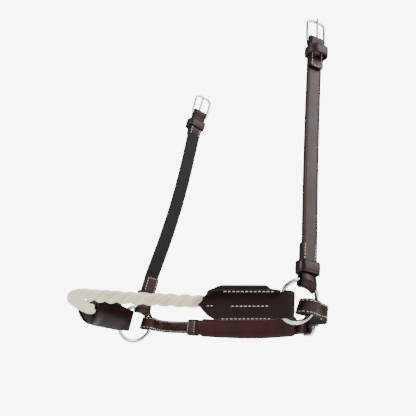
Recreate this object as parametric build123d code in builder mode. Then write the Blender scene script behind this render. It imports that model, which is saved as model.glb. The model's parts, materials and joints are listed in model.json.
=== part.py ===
from build123d import *
from math import asin, cos, degrees, radians, sin, tan
import os

# Rope-nose sidepull noseband with cheek hangers and a padded chin strap, in millimetres.
# Origin: the inner face of the rope at the middle of the nose.
# +X is the horse's left, +Y runs back along the head, +Z is up the cheeks.

# Rope nosepiece
rope_d = 11.0
front_corner_y = -16.6  # the route's corners, which the arcs below round off
front_corner_z = 2.0
side_corner_x = 62.0
side_corner_y = 19.2
side_corner_z = {1: -9.0, -1: -1.0}  # 1 is the horse's left, -1 its right
front_arc = 67.0
side_arc = 113.0
rope_in_wrap = 36.0  # length of rope end held inside each wrap

# Leather wraps that join the rope to the rings
ring_front_x = 111.0
ring_front_y = 107.5
ring_front_z = {1: -6.0, -1: 0.0}
wrap_lean = 12.0  # degrees that the wraps' upper edges tip towards the horse's left
wrap_leather = 2.2
wrap_half_height = 13.0
wrap_rear_half_height = 9.2
wrap_tip = -67.3  # along the leg from the ring's front wire
wrap_inner_end = -57.0
wrap_rear = 12.7
wrap_shoulder = (10.0, 10.0)  # behind the tip, and from the middle line
wrap_full_back = 18.0  # behind the tip, where the wrap reaches its full height
wrap_taper = (-8.0, 5.0)  # along the leg, where it narrows towards the ring
lining_thick = 1.0
lining_proud = 2.2  # the lining shows above the outer leather
lining_rear = -7.0
lining_back_off = 7.0  # how far its raised edge stops before its rear

# Rings
ring_r = 18.0  # to the centre of the wire
ring_wire = 3.5
ring_lean = 20.0  # degrees that their tops tip towards the horse's left
ring_yaw = {1: 12.0, -1: 8.0}  # degrees that their rear edges turn the same way
ring_side_shift = {1: 1.0, -1: 2.5}
ring_rise = {1: 3.0, -1: -3.0}

# Cheek straps
strap_w = 15.0
strap_t = 3.0
strap_l = 231.0  # ring wire to buckle bar
strap_in = 4.0  # degrees that it leans inwards
strap_back = {1: 9.0, -1: 15.8}  # degrees that it leans backwards
loop_angle = 18.0  # how far behind the ring's top the strap hangs
loop_room = {1: 4.5, -1: 3.8}  # inside radius of the fold; the left ring crosses its strap more steeply
loop_drop = {1: 1.9, -1: 1.2}
loop_neck = 7.5  # where the two layers meet, above the ring's wire
turn_up = 33.0  # height of the lower turned-back end
turn_down = 29.0  # length of the upper turned-back end
low_keeper = (7.0, 17.0)  # above the ring's wire
low_keeper_room = 1.6
high_keeper = (-17.0, -9.0)  # from the buckle bar
high_keeper_room = 5.8
keeper_t = 2.0
stitch_row = 5.0  # from the strap's middle line

# Wire buckles
buckle_wire = 2.6
buckle_w = 18.6  # to wire centres
buckle_h = 22.0
buckle_corner = 5.0
bar_corner = 1.5
tongue_wire = 2.2
tongue_slot = 4.2

# Chin strap, in a plane near the line between the ring centres
chin_w = 12.0
chin_t = 4.4  # two layers
chin_leather = 2.2
chin_room = 5.4  # half width of the loops' openings
chin_z = -6.2
chin_droop = 5.0  # degrees that the strap hangs below the rings
chin_roll = 3.0  # degrees that its left end hangs lower
chin_loop_rise = {1: 5.0, -1: 0.0}  # how far each ring loop stands above the strap's plane
chin_fold = {1: 1.0, -1: 6.5}  # where the loops' inner ends stand, behind the ring centres
chin_neck = 26.0  # where the two layers meet behind the rings
chin_corner = 14.0
chin_bow = 16.0
pad_w = 18.0
pad_t = 4.5
pad_ends = (-72.0, 69.0)
chin_keeper_x = -80.5
chin_keeper_l = 8.0
chin_keeper_t = 1.6
keeper_gap = 0.2
chin_buckle_x = 76.5
chin_buckle_w = 15.6
chin_buckle_h = 14.0
billet_end_x = 30.0
billet_gap = 0.3

# Stitches
stitch_t = 0.4  # how far the thread stands proud
stitch_pitch = 4.0
stitch_l = 2.6
stitch_w = 0.9

os.makedirs("parts", exist_ok=True)


def save(shape, label):
    """Labels a finished piece and writes it as its own STEP file."""
    shape.label = label
    export_step(shape, f"parts/{label}.step")


def leaned(forward, angle):
    """Upright direction square to forward, tipped by angle degrees towards +X."""
    side = (Vector(1, 0, 0) - forward * forward.X).normalized()
    return side.cross(forward) * cos(radians(angle)) + side * sin(radians(angle))


def stitches(face_plane, rows):
    """Rows of thread: each row is (x0, x1, y) in face_plane, standing stitch_t proud of it."""
    with BuildPart() as thread:
        with BuildSketch(face_plane):
            for x0, x1, y in rows:
                count = int((x1 - x0) / stitch_pitch) + 1
                with Locations([(x0 + stitch_pitch * k, y) for k in range(count)]):
                    SlotOverall(stitch_l, stitch_w)
        extrude(amount=stitch_t)
    return thread.part


# ---------------------------------------------------------------- rope nosepiece
side_corner = {s: Vector(s * side_corner_x, side_corner_y, side_corner_z[s]) for s in (1, -1)}
ring_front = {s: Vector(s * ring_front_x, ring_front_y, ring_front_z[s]) for s in (1, -1)}
front_corner = Vector(0, front_corner_y, front_corner_z)
leg = {s: (ring_front[s] - side_corner[s]).normalized() for s in (1, -1)}
rope_end = {s: ring_front[s] + leg[s] * (wrap_tip + rope_in_wrap) for s in (1, -1)}

with BuildPart() as nose_rope:
    with BuildLine() as route:
        FilletPolyline(
            rope_end[1], side_corner[1], front_corner, side_corner[-1], rope_end[-1],
            radius=[side_arc, front_arc, side_arc],
        )
    with BuildSketch(Plane(origin=rope_end[1], z_dir=-leg[1])):
        Circle(rope_d / 2)
    sweep()
save(nose_rope.part, "nose_rope")

# ---------------------------------------------------------------- rings
ring_back = {s: Vector(sin(radians(ring_yaw[s])), cos(radians(ring_yaw[s])), 0) for s in (1, -1)}
ring_up = {s: leaned(ring_back[s], ring_lean) for s in (1, -1)}
ring_axis = {s: ring_back[s].cross(ring_up[s]).normalized() for s in (1, -1)}
wrap_up = {s: leaned(leg[s], wrap_lean) for s in (1, -1)}
wrap_out = {s: leg[s].cross(wrap_up[s]) * s for s in (1, -1)}
ring_centre = {
    s: ring_front[s]
    + wrap_out[s] * ring_side_shift[s]
    + ring_back[s] * ring_r
    + Vector(0, 0, ring_rise[s])
    for s in (1, -1)
}

for side, s in (("left", 1), ("right", -1)):
    with BuildPart() as ring:
        with BuildSketch(Plane(origin=ring_centre[s], x_dir=ring_back[s], z_dir=ring_up[s])):
            with Locations((ring_r, 0)):
                Circle(ring_wire / 2)
        revolve(axis=Axis(ring_centre[s], ring_axis[s]))
    save(ring.part, f"{side}_ring")

# ---------------------------------------------------------------- wraps
out_in = rope_d / 2 + lining_thick  # outer leaf's inside face
fold_y = (out_in - rope_d / 2) / 2
fold_r = (out_in + rope_d / 2) / 2  # inside radius of the fold round the ring
fold_x = wrap_rear - wrap_leather - fold_r
full_x = wrap_tip + wrap_full_back
shoulder_x = wrap_tip + wrap_shoulder[0]
wrap_edge = [
    (wrap_tip, 0), (shoulder_x, wrap_shoulder[1]), (full_x, wrap_half_height),
    (wrap_taper[0], wrap_half_height), (wrap_taper[1], wrap_rear_half_height),
    (wrap_rear, wrap_rear_half_height),
]
lining_top = wrap_half_height + lining_proud
lining_edge = [
    (wrap_tip + 3, 5), (wrap_tip + 12, wrap_half_height), (wrap_tip + 22, lining_top),
    (lining_rear - lining_back_off, lining_top), (lining_rear, wrap_half_height - 1),
    (lining_rear, 1 - wrap_half_height), (lining_rear - lining_back_off, -wrap_half_height),
    (full_x, -wrap_half_height), (shoulder_x, -wrap_shoulder[1]), (wrap_tip + 5, -4),
]
wrap_rows = [(-48, -7, 10.4), (-48, -7, -10.4), (-38, -6, 0), (-56, -52, 0)]

for side, s in (("left", 1), ("right", -1)):
    # plan: x along the leg, y outwards; elevation: x along the leg, y up
    plan = Plane(origin=ring_front[s], x_dir=leg[s], z_dir=leg[s].cross(wrap_out[s]))
    elevation = Plane(origin=ring_front[s], x_dir=leg[s], z_dir=leg[s].cross(wrap_up[s]))

    with BuildPart() as wrap:
        with BuildSketch(plan):
            with Locations((fold_x, fold_y)):
                Circle(fold_r + wrap_leather)
            with Locations(((wrap_tip + fold_x) / 2, out_in + wrap_leather / 2)):
                Rectangle(fold_x - wrap_tip, wrap_leather)
            with Locations(((wrap_inner_end + fold_x) / 2, -(rope_d + wrap_leather) / 2)):
                Rectangle(fold_x - wrap_inner_end, wrap_leather)
            with Locations((fold_x, fold_y)):
                Circle(fold_r, mode=Mode.SUBTRACT)
            with Locations((fold_x - fold_r, fold_y)):
                Rectangle(2 * fold_r, 2 * fold_r, mode=Mode.SUBTRACT)
        extrude(amount=wrap_half_height, both=True)
        with BuildSketch(elevation):
            with BuildLine():
                Polyline(*wrap_edge, *[(x, -y) for x, y in reversed(wrap_edge[1:])], close=True)
            make_face()
        extrude(amount=wrap_half_height, both=True, mode=Mode.INTERSECT)
    save(wrap.part, f"{side}_wrap")

    with BuildPart() as lining:
        with BuildSketch(elevation):
            with BuildLine():
                Polyline(*lining_edge, close=True)
            make_face()
        extrude(amount=rope_d, both=True)
        with BuildSketch(plan):
            with Locations(((wrap_tip + lining_rear) / 2, fold_y)):
                Rectangle(lining_rear - wrap_tip, 2 * fold_r)
        extrude(amount=lining_top, both=True, mode=Mode.INTERSECT)
        with BuildSketch(Plane(origin=rope_end[s] - leg[s] * 60, z_dir=leg[s])):
            Circle(rope_d / 2)
        extrude(amount=60, mode=Mode.SUBTRACT)
    save(lining.part, f"{side}_wrap_lining")

    outside = ring_front[s] + wrap_out[s] * (out_in + wrap_leather)
    save(stitches(Plane(origin=outside, x_dir=leg[s], z_dir=wrap_out[s]), wrap_rows),
         f"{side}_wrap_stitching")

# ---------------------------------------------------------------- cheek straps, keepers, buckles
bar_r = buckle_wire / 2
bar_fold_r = bar_r + 0.3  # leather's inside radius round a buckle bar
tongue_r = tongue_wire / 2
tongue_off = bar_r + 0.15 + tongue_r
high_keeper_out = 2 * strap_t + high_keeper_room


def band(plane, x0, x1, width, height, thickness=keeper_t):
    """A keeper: a band whose opening runs from x0 to x1 and is width across, height tall."""
    with BuildPart() as keeper:
        with BuildSketch(plane):
            with Locations(((x0 + x1) / 2, 0)):
                RectangleRounded(x1 - x0 + 2 * thickness, width + 2 * thickness, thickness)
                Rectangle(x1 - x0, width, mode=Mode.SUBTRACT)
        extrude(amount=height)
    return keeper.part


def wire_frame(bar, across_dir, frame_dir, width, height):
    """A buckle's closed wire frame. bar is the middle of the wire that the leather folds over."""
    flat = Plane(origin=bar, x_dir=across_dir, z_dir=across_dir.cross(frame_dir))
    half = width / 2
    with BuildPart() as frame:
        with BuildLine(flat) as loop:
            FilletPolyline(
                (half, 0), (half, height), (-half, height), (-half, 0),
                radius=[bar_corner, buckle_corner, buckle_corner, bar_corner], close=True,
            )
        start = loop.wires()[0]
        with BuildSketch(Plane(origin=start @ 0, z_dir=start % 0)):
            Circle(bar_r)
        sweep()
    return frame.part


def wire_tongue(bar, axis_dir, frame_dir, face_dir, length):
    """A buckle's tongue: an eye round the bar and a straight wire that lies on the frame."""
    with BuildPart() as tongue:
        with BuildSketch(Plane(origin=bar, x_dir=face_dir, z_dir=frame_dir)):
            with Locations((tongue_off, 0)):
                Circle(tongue_r)
        revolve(axis=Axis(bar, axis_dir))
        with BuildSketch(Plane(origin=bar + face_dir * tongue_off, z_dir=frame_dir)):
            Circle(tongue_r)
        extrude(amount=length)
        with Locations(bar + face_dir * tongue_off + frame_dir * length):
            Sphere(tongue_r)
    return tongue.part


for side, s in (("left", 1), ("right", -1)):
    up = Vector(-s * tan(radians(strap_in)), tan(radians(strap_back[s])), 1).normalized()
    wire_at = ring_centre[s] + (
        ring_up[s] * cos(radians(loop_angle)) + ring_back[s] * sin(radians(loop_angle))
    ) * ring_r
    rear = (ring_back[s] - up * ring_back[s].dot(up)).normalized()
    out = rear.cross(up) * s
    profile = Plane(origin=wire_at, x_dir=out, z_dir=out.cross(up))
    face = Plane(origin=wire_at, x_dir=rear * s, z_dir=out)
    bar = wire_at + out * strap_t + up * strap_l

    with BuildPart() as cheek:
        with BuildSketch(profile):
            with Locations((0, -loop_drop[s])):
                Circle(loop_room[s] + strap_t)
            with Locations((0, loop_neck)):
                Rectangle(2 * strap_t, 0.2)
            make_hull()
        with BuildSketch(profile):
            with Locations((strap_t, strap_l)):
                Circle(bar_fold_r + strap_t)
            with Locations((strap_t, strap_l - 3 * strap_t)):
                Rectangle(2 * strap_t, 0.2)
            make_hull()
        with BuildSketch(profile):
            with Locations((0, (loop_neck + turn_up) / 2)):
                Rectangle(2 * strap_t, turn_up - loop_neck)
            with Locations((strap_t / 2, strap_l / 2)):
                Rectangle(strap_t, strap_l - 14)
            with Locations((strap_t, strap_l - turn_down / 2 - 4)):
                Rectangle(2 * strap_t, turn_down - 8)
        extrude(amount=strap_w / 2, both=True)
        with BuildSketch(profile):
            with Locations((0, -loop_drop[s])):
                Circle(loop_room[s])
            with Locations((0, loop_neck - 1.5)):
                Circle(0.3)
            make_hull()
        with BuildSketch(profile):
            with Locations((strap_t, strap_l)):
                Circle(bar_fold_r)
            with Locations((strap_t, strap_l - 2 * strap_t)):
                Circle(0.2)
            make_hull()
        extrude(amount=strap_w, both=True, mode=Mode.SUBTRACT)
        with BuildSketch(face):
            with Locations((0, strap_l)):
                Rectangle(tongue_slot, 4 * tongue_off)
        extrude(amount=4 * strap_t, both=True, mode=Mode.SUBTRACT)
    save(cheek.part, f"{side}_cheek_strap")

    low_rows = [(low_keeper[1] + 2, turn_up - 2, y) for y in (stitch_row, -stitch_row)]
    high_rows = [(strap_l - turn_down + 2, strap_l - 17, y) for y in (stitch_row, -stitch_row)]
    single_face = Plane(origin=wire_at + out * strap_t, x_dir=up, z_dir=out)
    double_face = Plane(origin=wire_at + out * (2 * strap_t), x_dir=up, z_dir=out)
    thread = stitches(single_face, low_rows) + stitches(double_face, high_rows)
    save(thread, f"{side}_cheek_stitching")

    low_plane = Plane(origin=wire_at + up * low_keeper[0], x_dir=out, z_dir=up)
    room = strap_t + low_keeper_room
    save(band(low_plane, -room, room, strap_w + 0.8, low_keeper[1] - low_keeper[0]),
         f"{side}_lower_keeper")
    high_plane = Plane(origin=wire_at + up * (strap_l + high_keeper[0]), x_dir=out, z_dir=up)
    save(band(high_plane, 0, high_keeper_out, strap_w + 0.2, high_keeper[1] - high_keeper[0]),
         f"{side}_upper_keeper")
    save(wire_frame(bar, rear, up, buckle_w, buckle_h), f"{side}_buckle_frame")
    save(wire_tongue(bar, rear, up, out, buckle_h + 1.5), f"{side}_buckle_tongue")

# ---------------------------------------------------------------- chin strap
chin_mid = (ring_centre[1] + ring_centre[-1]) * 0.5
chin_line = (ring_centre[1] - ring_centre[-1]).normalized()
chin_rear = Vector(0, cos(radians(chin_droop)), -sin(radians(chin_droop)))
chin_up = chin_line.cross(chin_rear).normalized() + chin_line * sin(radians(chin_roll))
lean_dir = Vector(sin(radians(ring_lean)), 0, cos(radians(ring_lean)))
chin_across = (chin_line - chin_up * (chin_line.dot(chin_up) / chin_up.dot(chin_up))).normalized()
level = Plane(origin=chin_mid + Vector(0, 0, chin_z), x_dir=chin_across, z_dir=chin_up)


def wire_across(s):
    """The ring's rear wire, where it crosses the strap's middle height, in the level plane."""
    drop = chin_z + chin_loop_rise[s] - s * abs(ring_centre[s].X - chin_mid.X) * sin(radians(chin_roll))
    angle = asin(drop / (ring_r * cos(radians(ring_lean))))
    wire = ring_centre[s] + ring_back[s] * (ring_r * cos(angle)) + ring_up[s] * (ring_r * sin(angle))
    return level.to_local_coords(wire)


wire_local = {s: wire_across(s) for s in (1, -1)}
half_chin = (wire_local[1].X - wire_local[-1].X) / 2
level = Plane(
    origin=level.from_local_coords(Vector((wire_local[1].X + wire_local[-1].X) / 2, 0, 0)),
    x_dir=level.x_dir, z_dir=level.z_dir,
)
bow_r = (half_chin - chin_corner * (1 - sin(radians(chin_bow)))) / sin(radians(chin_bow))
bow_y = chin_neck + chin_corner * cos(radians(chin_bow)) - bow_r * cos(radians(chin_bow))


def on_bow(x, off=0.0):
    """Point, tangent towards the left and rearward normal of the strap's middle line at x."""
    angle = asin(x / bow_r)
    normal = Vector(sin(angle), cos(angle), 0)
    return Vector(0, bow_y, 0) + normal * (bow_r + off), Vector(cos(angle), -sin(angle), 0), normal


def bow_arc(x0, x1, off=0.0):
    """An arc beside the strap's middle line, off behind it."""
    ThreePointArc(on_bow(x0, off)[0], on_bow((x0 + x1) / 2, off)[0], on_bow(x1, off)[0])


def ring_loop(s):
    """A band folded loosely round a ring's rear wire, tipped over as the ring is."""
    with BuildPart() as fold:
        for room, neck, mode in ((chin_room + chin_leather, chin_neck, Mode.ADD),
                                 (chin_room, chin_neck - 3, Mode.SUBTRACT)):
            with BuildSketch(level.offset(chin_loop_rise[s])):
                with Locations((s * half_chin, chin_fold[s] + chin_leather + chin_room),
                               (s * half_chin, wire_local[s].Y - 2)):
                    Circle(room)
                with Locations((s * half_chin, neck)):
                    Rectangle(chin_t if mode == Mode.ADD else 0.4, 0.2)
                make_hull()
            extrude(amount=chin_w / 2 / cos(radians(ring_lean)), dir=lean_dir, both=True, mode=mode)
    return fold.part


bar_at, bar_tangent, bar_normal = on_bow(chin_buckle_x)


def by_bar(t, n):
    """A point t along the strap and n behind it from the chin buckle's bar."""
    return bar_at + bar_tangent * t + bar_normal * n


def world(v):
    """A level-plane direction in the part's own frame."""
    return level.x_dir * v.X + level.y_dir * v.Y + level.z_dir * v.Z


bar_world = level.from_local_coords(bar_at)
with BuildPart() as chin_strap:
    add(ring_loop(-1))
    with BuildSketch(level):
        with BuildLine():
            turn = JernArc((-half_chin, chin_neck), (0, 1), chin_corner, chin_bow - 90)
            JernArc(turn @ 1, turn % 1, bow_r, -chin_bow - degrees(asin((chin_buckle_x - 6) / bow_r)))
        trace(line_width=chin_t)
    with BuildSketch(level):
        with Locations(bar_at):
            Circle(bar_fold_r + chin_leather)
        with Locations(by_bar(-7.5, 0)):
            Circle(chin_t / 2)
        make_hull()
    extrude(amount=chin_w / 2, both=True)
    with BuildSketch(level):
        with Locations(bar_at):
            Circle(bar_fold_r)
        with Locations(by_bar(-4.5, 0)):
            Circle(0.2)
        make_hull()
    extrude(amount=chin_w, both=True, mode=Mode.SUBTRACT)
    with BuildSketch(Plane(origin=bar_world, x_dir=world(bar_tangent), z_dir=world(bar_normal))):
        Rectangle(4 * tongue_off, tongue_slot)
    extrude(amount=4 * chin_leather, both=True, mode=Mode.SUBTRACT)
save(chin_strap.part, "chin_strap")

with BuildPart() as chin_pad:
    with BuildSketch(level):
        with BuildLine():
            bow_arc(*pad_ends, -(chin_t + pad_t) / 2)
        trace(line_width=pad_t)
    extrude(amount=pad_w / 2, both=True)
    fillet(chin_pad.edges().filter_by(lambda e: abs(e.length - pad_t) < 0.05), 6)
save(chin_pad.part, "chin_pad")

keeper_at, keeper_tangent, keeper_normal = on_bow(chin_keeper_x)
keeper_plane = Plane(
    origin=level.from_local_coords(keeper_at), x_dir=world(keeper_normal), z_dir=world(keeper_tangent)
)
half_room = chin_t / 2 + keeper_gap
chin_keeper = band(
    keeper_plane, -half_room, half_room, chin_w + keeper_gap, chin_keeper_l, chin_keeper_t
)
save(chin_keeper, "chin_keeper")

along_strap = world(bar_tangent)
save(wire_frame(bar_world, level.z_dir, along_strap, chin_buckle_w, chin_buckle_h), "chin_buckle_frame")
save(wire_tongue(bar_world, level.z_dir, along_strap, world(bar_normal), chin_buckle_h + 1.5),
     "chin_buckle_tongue")

under = bar_r + chin_leather / 2 + billet_gap
over = bar_fold_r + 1.5 * chin_leather + billet_gap
along = (chin_t + chin_leather) / 2 + billet_gap
with BuildPart() as chin_billet:
    add(ring_loop(1))
    with BuildSketch(level):
        with BuildLine():
            turn = JernArc((half_chin, chin_neck), (0, 1), chin_corner, 90 - chin_bow)
            Line(turn @ 1, turn @ 1 + (turn % 1) * 4)
        trace(line_width=chin_t)
    with BuildSketch(level):
        with BuildLine():
            lay = FilletPolyline(
                turn @ 1 + (turn % 1) * 3, by_bar(chin_buckle_h + 4, -under),
                by_bar(chin_buckle_h - 2, -under), by_bar(2.5, over), by_bar(-4, over),
                by_bar(-9, along), on_bow(chin_buckle_x - 14, along)[0], radius=2.5,
            )
        trace(line_width=chin_leather)
    with BuildSketch(level):
        with BuildLine():
            bow_arc(chin_buckle_x - 13.5, billet_end_x, along)
        trace(line_width=chin_leather)
    extrude(amount=chin_w / 2, both=True)
    with BuildSketch(Plane(origin=bar_world + world(bar_normal) * tongue_off, z_dir=world(bar_tangent))):
        Circle(tongue_r + 0.4)
    extrude(amount=chin_buckle_h, mode=Mode.SUBTRACT)
save(chin_billet.part, "chin_billet")
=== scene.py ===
import json
import random
from math import asin, cos, pi, radians, sin, sqrt

import bmesh
import bpy
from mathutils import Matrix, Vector


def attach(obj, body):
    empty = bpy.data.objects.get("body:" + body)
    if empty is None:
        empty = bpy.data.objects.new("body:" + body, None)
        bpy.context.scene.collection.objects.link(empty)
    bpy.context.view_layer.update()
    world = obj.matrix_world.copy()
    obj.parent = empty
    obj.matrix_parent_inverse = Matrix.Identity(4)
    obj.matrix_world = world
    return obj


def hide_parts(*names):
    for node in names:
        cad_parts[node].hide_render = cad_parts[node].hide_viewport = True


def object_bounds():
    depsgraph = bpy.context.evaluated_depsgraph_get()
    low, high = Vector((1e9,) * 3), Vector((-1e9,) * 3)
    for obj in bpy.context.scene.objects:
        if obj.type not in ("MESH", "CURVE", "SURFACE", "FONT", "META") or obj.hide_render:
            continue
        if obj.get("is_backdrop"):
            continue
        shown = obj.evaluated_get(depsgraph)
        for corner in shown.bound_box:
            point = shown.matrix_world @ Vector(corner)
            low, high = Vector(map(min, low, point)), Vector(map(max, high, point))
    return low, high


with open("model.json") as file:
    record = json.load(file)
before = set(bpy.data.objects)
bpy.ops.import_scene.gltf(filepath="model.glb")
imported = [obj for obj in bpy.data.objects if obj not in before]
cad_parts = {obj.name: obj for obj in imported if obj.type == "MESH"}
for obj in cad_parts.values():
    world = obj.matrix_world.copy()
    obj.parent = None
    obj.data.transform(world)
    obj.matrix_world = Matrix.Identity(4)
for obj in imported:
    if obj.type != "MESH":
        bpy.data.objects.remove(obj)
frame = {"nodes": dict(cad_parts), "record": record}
cad_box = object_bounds()

# Lengths in this script are in millimetres and MM turns them into Blender's metres.
MM = 0.001
LEFT, RIGHT = 1, -1
SIDES = (("left", LEFT), ("right", RIGHT))
JOINTS = {j["name"]: j for j in frame["record"]["behaviour"]["joints"]}

# Sizes shared with the CAD model
ROPE_R = 5.5
WRAP_LEATHER = 2.2
WRAP_TIP = -67.3
WRAP_INNER_END = -58.0
WRAP_REAR = 12.7
WRAP_HALF = 13.0
RING_R = 18.0
STRAP_W = 15.0
STRAP_T = 3.0
STRAP_L = 231.0
BAR_R = 1.3
CHIN_W = 12.0
CHIN_LAYER = 2.2
CHIN_NECK = 26.0
CHIN_ROOM = 5.4
CHIN_CORNER = 14.0
CHIN_BOW_DEGREES = 16.0
CHIN_BOW = radians(CHIN_BOW_DEGREES)


def joint_point(name):
    return Vector(JOINTS[name]["pos_m"]) / MM


def joint_axis(name):
    return Vector(JOINTS[name]["axis"]).normalized()


# ------------------------------------------------------------------ camera
CAMERA_AT = Vector((564.6, -353.4, -93.8))
AZIMUTH = radians(49.6)
PITCH = radians(14.5)
LENS = 69.75


def make_camera():
    data = bpy.data.cameras.new("camera")
    data.lens = LENS
    data.sensor_width = 36.0
    data.clip_start = 0.01
    camera = bpy.data.objects.new("camera", data)
    bpy.context.scene.collection.objects.link(camera)
    look = Vector((-sin(AZIMUTH) * cos(PITCH), cos(AZIMUTH) * cos(PITCH), sin(PITCH)))
    camera.location = CAMERA_AT * MM
    camera.rotation_euler = look.to_track_quat("-Z", "Y").to_euler()
    bpy.context.scene.camera = camera


make_camera()


# ------------------------------------------------------------------ materials
def node_material(name):
    material = bpy.data.materials.new(name)
    material.use_nodes = True
    tree = material.node_tree
    shader = tree.nodes["Principled BSDF"]
    return material, tree, shader


def add(tree, kind, **settings):
    node = tree.nodes.new(kind)
    for key, value in settings.items():
        if key in node.inputs:
            node.inputs[key].default_value = value
        else:
            setattr(node, key, value)
    return node


def ramp(tree, source, stops):
    """A colour ramp fed by source; each stop is (position, colour)."""
    node = tree.nodes.new("ShaderNodeValToRGB")
    elements = node.color_ramp.elements
    while len(elements) < len(stops):
        elements.new(0.5)
    for element, (position, colour) in zip(elements, stops):
        element.position = position
        element.color = (*colour, 1.0)
    tree.links.new(source, node.inputs["Fac"])
    return node.outputs["Color"]


def mix(tree, fac, a, b):
    """Mixes two colours, each a socket or an RGB tuple, by the socket fac."""
    node = tree.nodes.new("ShaderNodeMix")
    node.data_type = "RGBA"
    for socket, value in ((node.inputs[0], fac), (node.inputs[6], a), (node.inputs[7], b)):
        if isinstance(value, bpy.types.NodeSocket):
            tree.links.new(value, socket)
        else:
            socket.default_value = (*value, 1.0)
    return node.outputs[2]


def bump(tree, shader, *layers):
    """Chains bump layers, each (height socket, strength, distance in mm), into the shader's normal."""
    normal = None
    for height, strength, distance in layers:
        node = add(tree, "ShaderNodeBump", Strength=strength, Distance=distance * MM)
        tree.links.new(height, node.inputs["Height"])
        if normal is not None:
            tree.links.new(normal, node.inputs["Normal"])
        normal = node.outputs["Normal"]
    tree.links.new(normal, shader.inputs["Normal"])


def leather(name, dark, light, edge, rough, grain, coat=0.0, specular=0.5):
    """Dressed leather: mottled dye, pores and fine creases darkened with painted shade and wear, with burnished
    edges where 'tone' is 1.
    """
    material, tree, shader = node_material(name)
    place = tree.nodes.new("ShaderNodeTexCoord").outputs["Object"]
    dye = add(tree, "ShaderNodeTexNoise", Scale=60.0, Detail=6.0, Roughness=0.6)
    pores = add(tree, "ShaderNodeTexVoronoi", Scale=1100.0, feature="DISTANCE_TO_EDGE")
    fine = add(tree, "ShaderNodeTexNoise", Scale=900.0, Detail=4.0, Roughness=0.55)
    creases = add(tree, "ShaderNodeTexNoise", Scale=140.0, Detail=5.0, Distortion=1.2)
    for node in (dye, pores, fine, creases):
        tree.links.new(place, node.inputs["Vector"])
    base = ramp(tree, dye.outputs["Fac"], [(0.32, dark), (0.68, light)])
    # Darker where the crease noise is low, the same noise that sinks the crease bump: painted shade in the creases,
    # mixed with wear.
    crease_wear_and_shade = ramp(tree, creases.outputs["Fac"], [(0.35, (0.82, 0.82, 0.82)), (0.62, (1.0, 1.0, 1.0))])
    multiply = tree.nodes.new("ShaderNodeMix")
    multiply.data_type = "RGBA"
    multiply.blend_type = "MULTIPLY"
    multiply.inputs[0].default_value = 0.8
    tree.links.new(base, multiply.inputs[6])
    tree.links.new(crease_wear_and_shade, multiply.inputs[7])
    tone = add(tree, "ShaderNodeAttribute", attribute_name="tone")
    colour = mix(tree, tone.outputs["Fac"], multiply.outputs[2], edge)
    tree.links.new(colour, shader.inputs["Base Color"])
    gloss = ramp(tree, dye.outputs["Fac"], [(0.3, (rough - 0.06,) * 3), (0.7, (rough + 0.08,) * 3)])
    gloss = mix(tree, tone.outputs["Fac"], gloss, (0.68, 0.68, 0.68))
    tree.links.new(gloss, shader.inputs["Roughness"])
    shader.inputs["Specular IOR Level"].default_value = specular
    shader.inputs["Coat Weight"].default_value = coat
    shader.inputs["Coat Roughness"].default_value = 0.3
    bump(tree, shader, (pores.outputs["Distance"], grain, 0.12), (fine.outputs["Fac"], grain, 0.10),
         (creases.outputs["Fac"], grain * 0.6, 0.25))
    return material


def metal(name):
    """Polished stainless wire with faint drawing marks and a little handling haze."""
    material, tree, shader = node_material(name)
    place = tree.nodes.new("ShaderNodeTexCoord").outputs["Object"]
    haze = add(tree, "ShaderNodeTexNoise", Scale=90.0, Detail=4.0)
    marks = add(tree, "ShaderNodeTexNoise", Scale=1400.0, Detail=2.0)
    tree.links.new(place, haze.inputs["Vector"])
    tree.links.new(place, marks.inputs["Vector"])
    colour = ramp(tree, haze.outputs["Fac"], [(0.3, (0.50, 0.49, 0.49)), (0.7, (0.66, 0.65, 0.65))])
    tree.links.new(colour, shader.inputs["Base Color"])
    gloss = ramp(tree, haze.outputs["Fac"], [(0.3, (0.16,) * 3), (0.7, (0.27,) * 3)])
    tree.links.new(gloss, shader.inputs["Roughness"])
    shader.inputs["Metallic"].default_value = 1.0
    bump(tree, shader, (marks.outputs["Fac"], 0.08, 0.03))
    return material


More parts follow.
